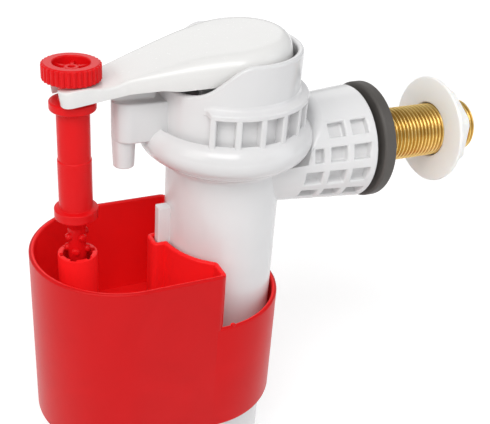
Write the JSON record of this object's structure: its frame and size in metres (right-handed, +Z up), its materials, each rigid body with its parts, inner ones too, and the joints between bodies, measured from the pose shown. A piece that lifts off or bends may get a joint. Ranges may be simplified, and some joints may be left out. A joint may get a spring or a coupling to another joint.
{
  "type": "cistern fill valve",
  "caption": "Side-entry cistern fill valve with a float cup on a down tube, a forked lever over a servo head, a level screw and a threaded brass inlet shank with washer and nut.",
  "frame": {"origin": "centre of the inlet barrel's seat face, on the inlet axis, where the seal clamps against the cistern wall", "axes": "+X along the inlet shank out of the cistern, +Z up along the down tube, +Y by the right-hand rule"},
  "size_m": [0.1423, 0.051, 0.1506],
  "materials": {
    "white_plastic": "smooth moulded acetal, semi-gloss",
    "red_plastic": "smooth moulded polypropylene, semi-gloss",
    "natural_plastic": "moulded acetal, matt",
    "blue_plastic": "moulded filter plastic, matt",
    "black_rubber": "moulded rubber, matt",
    "brass": "turned and threaded, bright",
    "steel": "drawn stainless pin"
  },
  "bodies": {
    "valve_head": {"valve_body": "white_plastic", "seat_insert": "natural_plastic", "metering_pin": "steel", "head_cap": "white_plastic", "pilot_nozzle": "natural_plastic", "hinge_pin": "steel", "inlet_shank": "brass", "shank_o_ring": "black_rubber", "regulator_core": "natural_plastic", "regulator_ring": "black_rubber", "inlet_strainer": "blue_plastic"},
    "lever_arm": {"lever": "white_plastic", "pilot_pad": "black_rubber"},
    "float": {"float_cup": "red_plastic"},
    "screw": {"level_screw": "red_plastic"},
    "diaphragm_body": {"diaphragm": "black_rubber", "diaphragm_core": "natural_plastic"},
    "washer": {"seal_washer": "black_rubber"},
    "nut": {"backnut": "white_plastic"}
  },
  "joints": [
    {"name": "lever_pivot", "type": "hinge", "parent": "valve_head", "child": "lever_arm", "pos_m": [-0.0513, 0, 0.0298], "axis": [0, 1, 0], "range_deg": [0, 8.4]},
    {"name": "float_slide", "type": "slide", "parent": "valve_head", "child": "float", "axis": [0, 0, 1], "range_m": [0, 0.0051]},
    {"name": "level_screw_turn", "type": "hinge", "parent": "float", "child": "screw", "pos_m": [-0.0861, 0, 0], "axis": [0, 0, 1], "continuous": true},
    {"name": "diaphragm_lift", "type": "slide", "parent": "valve_head", "child": "diaphragm_body", "axis": [0, 0, 1], "range_m": [0, 0.0022], "deforming": ["diaphragm"]},
    {"name": "washer_slide", "type": "slide", "parent": "valve_head", "child": "washer", "axis": [1, 0, 0], "range_m": [-0.0021, 0]},
    {"name": "backnut_travel", "type": "slide", "parent": "valve_head", "child": "nut", "axis": [1, 0, 0], "range_m": [-0.0232, 0.0051]}
  ],
  "couplings": [
    {"joint": "lever_pivot", "follows": "float_slide", "rad_per_m": 28.746}
  ]
}
